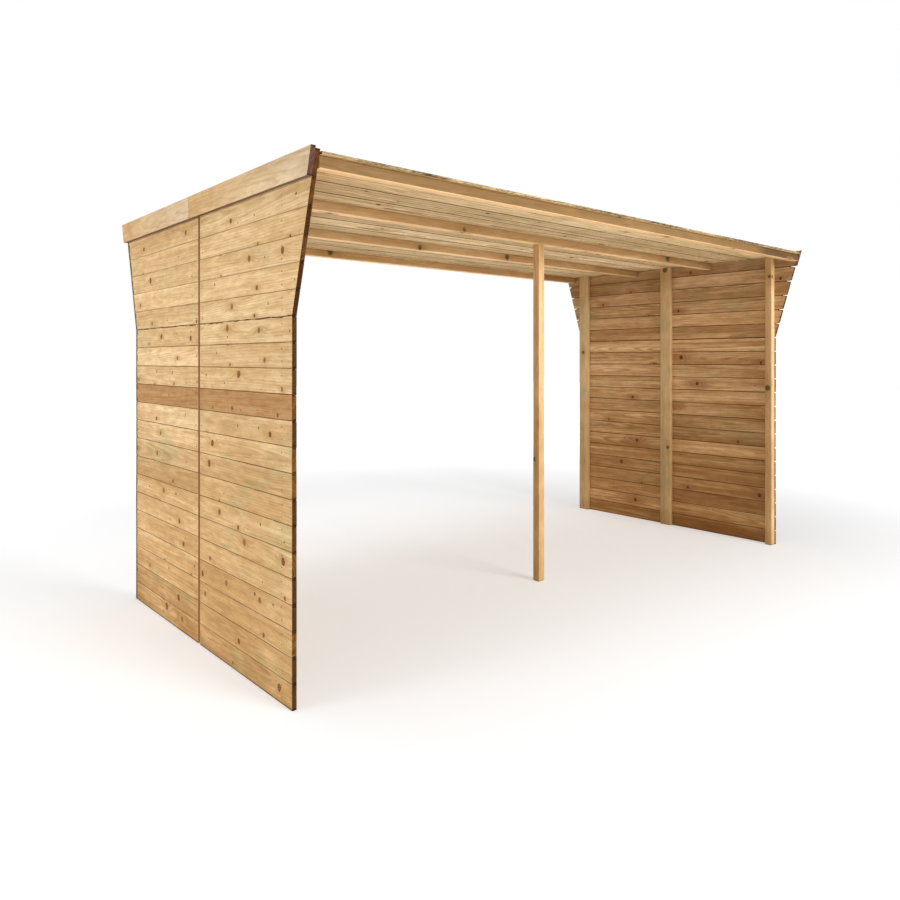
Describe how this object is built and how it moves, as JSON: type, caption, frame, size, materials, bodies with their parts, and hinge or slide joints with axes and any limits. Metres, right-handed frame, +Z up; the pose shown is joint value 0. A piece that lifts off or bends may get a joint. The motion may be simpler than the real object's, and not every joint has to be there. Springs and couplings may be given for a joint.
{
  "type": "log store",
  "caption": "Open-fronted timber log store with flared boarded side walls, a flat boarded roof on cross purlins and a middle post.",
  "frame": {"origin": "on the ground, at the middle of the store's length and of its depth", "axes": "+X along the length from the left wall to the right wall, +Y from the open front to the open back, +Z up"},
  "size_m": [3.76, 2.026, 2.003],
  "materials": {
    "wall_board": "rough treated softwood",
    "fascia_board": "planed treated softwood",
    "frame_timber": "planed treated softwood",
    "roof_board": "rough treated softwood"
  },
  "bodies": {
    "root": {"left_back_batten": "frame_timber", "left_fascia_back": "fascia_board", "left_fascia_front": "fascia_board", "left_front_batten": "frame_timber", "left_middle_batten": "frame_timber", "left_wall_back_lower": "wall_board", "left_wall_back_upper": "wall_board", "left_wall_front_lower": "wall_board", "left_wall_front_upper": "wall_board", "middle_post": "frame_timber", "purlin_1": "frame_timber", "purlin_2": "frame_timber", "purlin_3": "frame_timber", "purlin_4": "frame_timber", "right_back_batten": "frame_timber", "right_fascia_back": "fascia_board", "right_fascia_front": "fascia_board", "right_front_post": "frame_timber", "right_middle_batten": "frame_timber", "right_wall_back_lower": "wall_board", "right_wall_back_upper": "wall_board", "right_wall_front_lower": "wall_board", "right_wall_front_upper": "wall_board", "roof_boards_back": "roof_board", "roof_boards_front": "roof_board", "roof_boards_middle": "roof_board"}
  },
  "joints": []
}
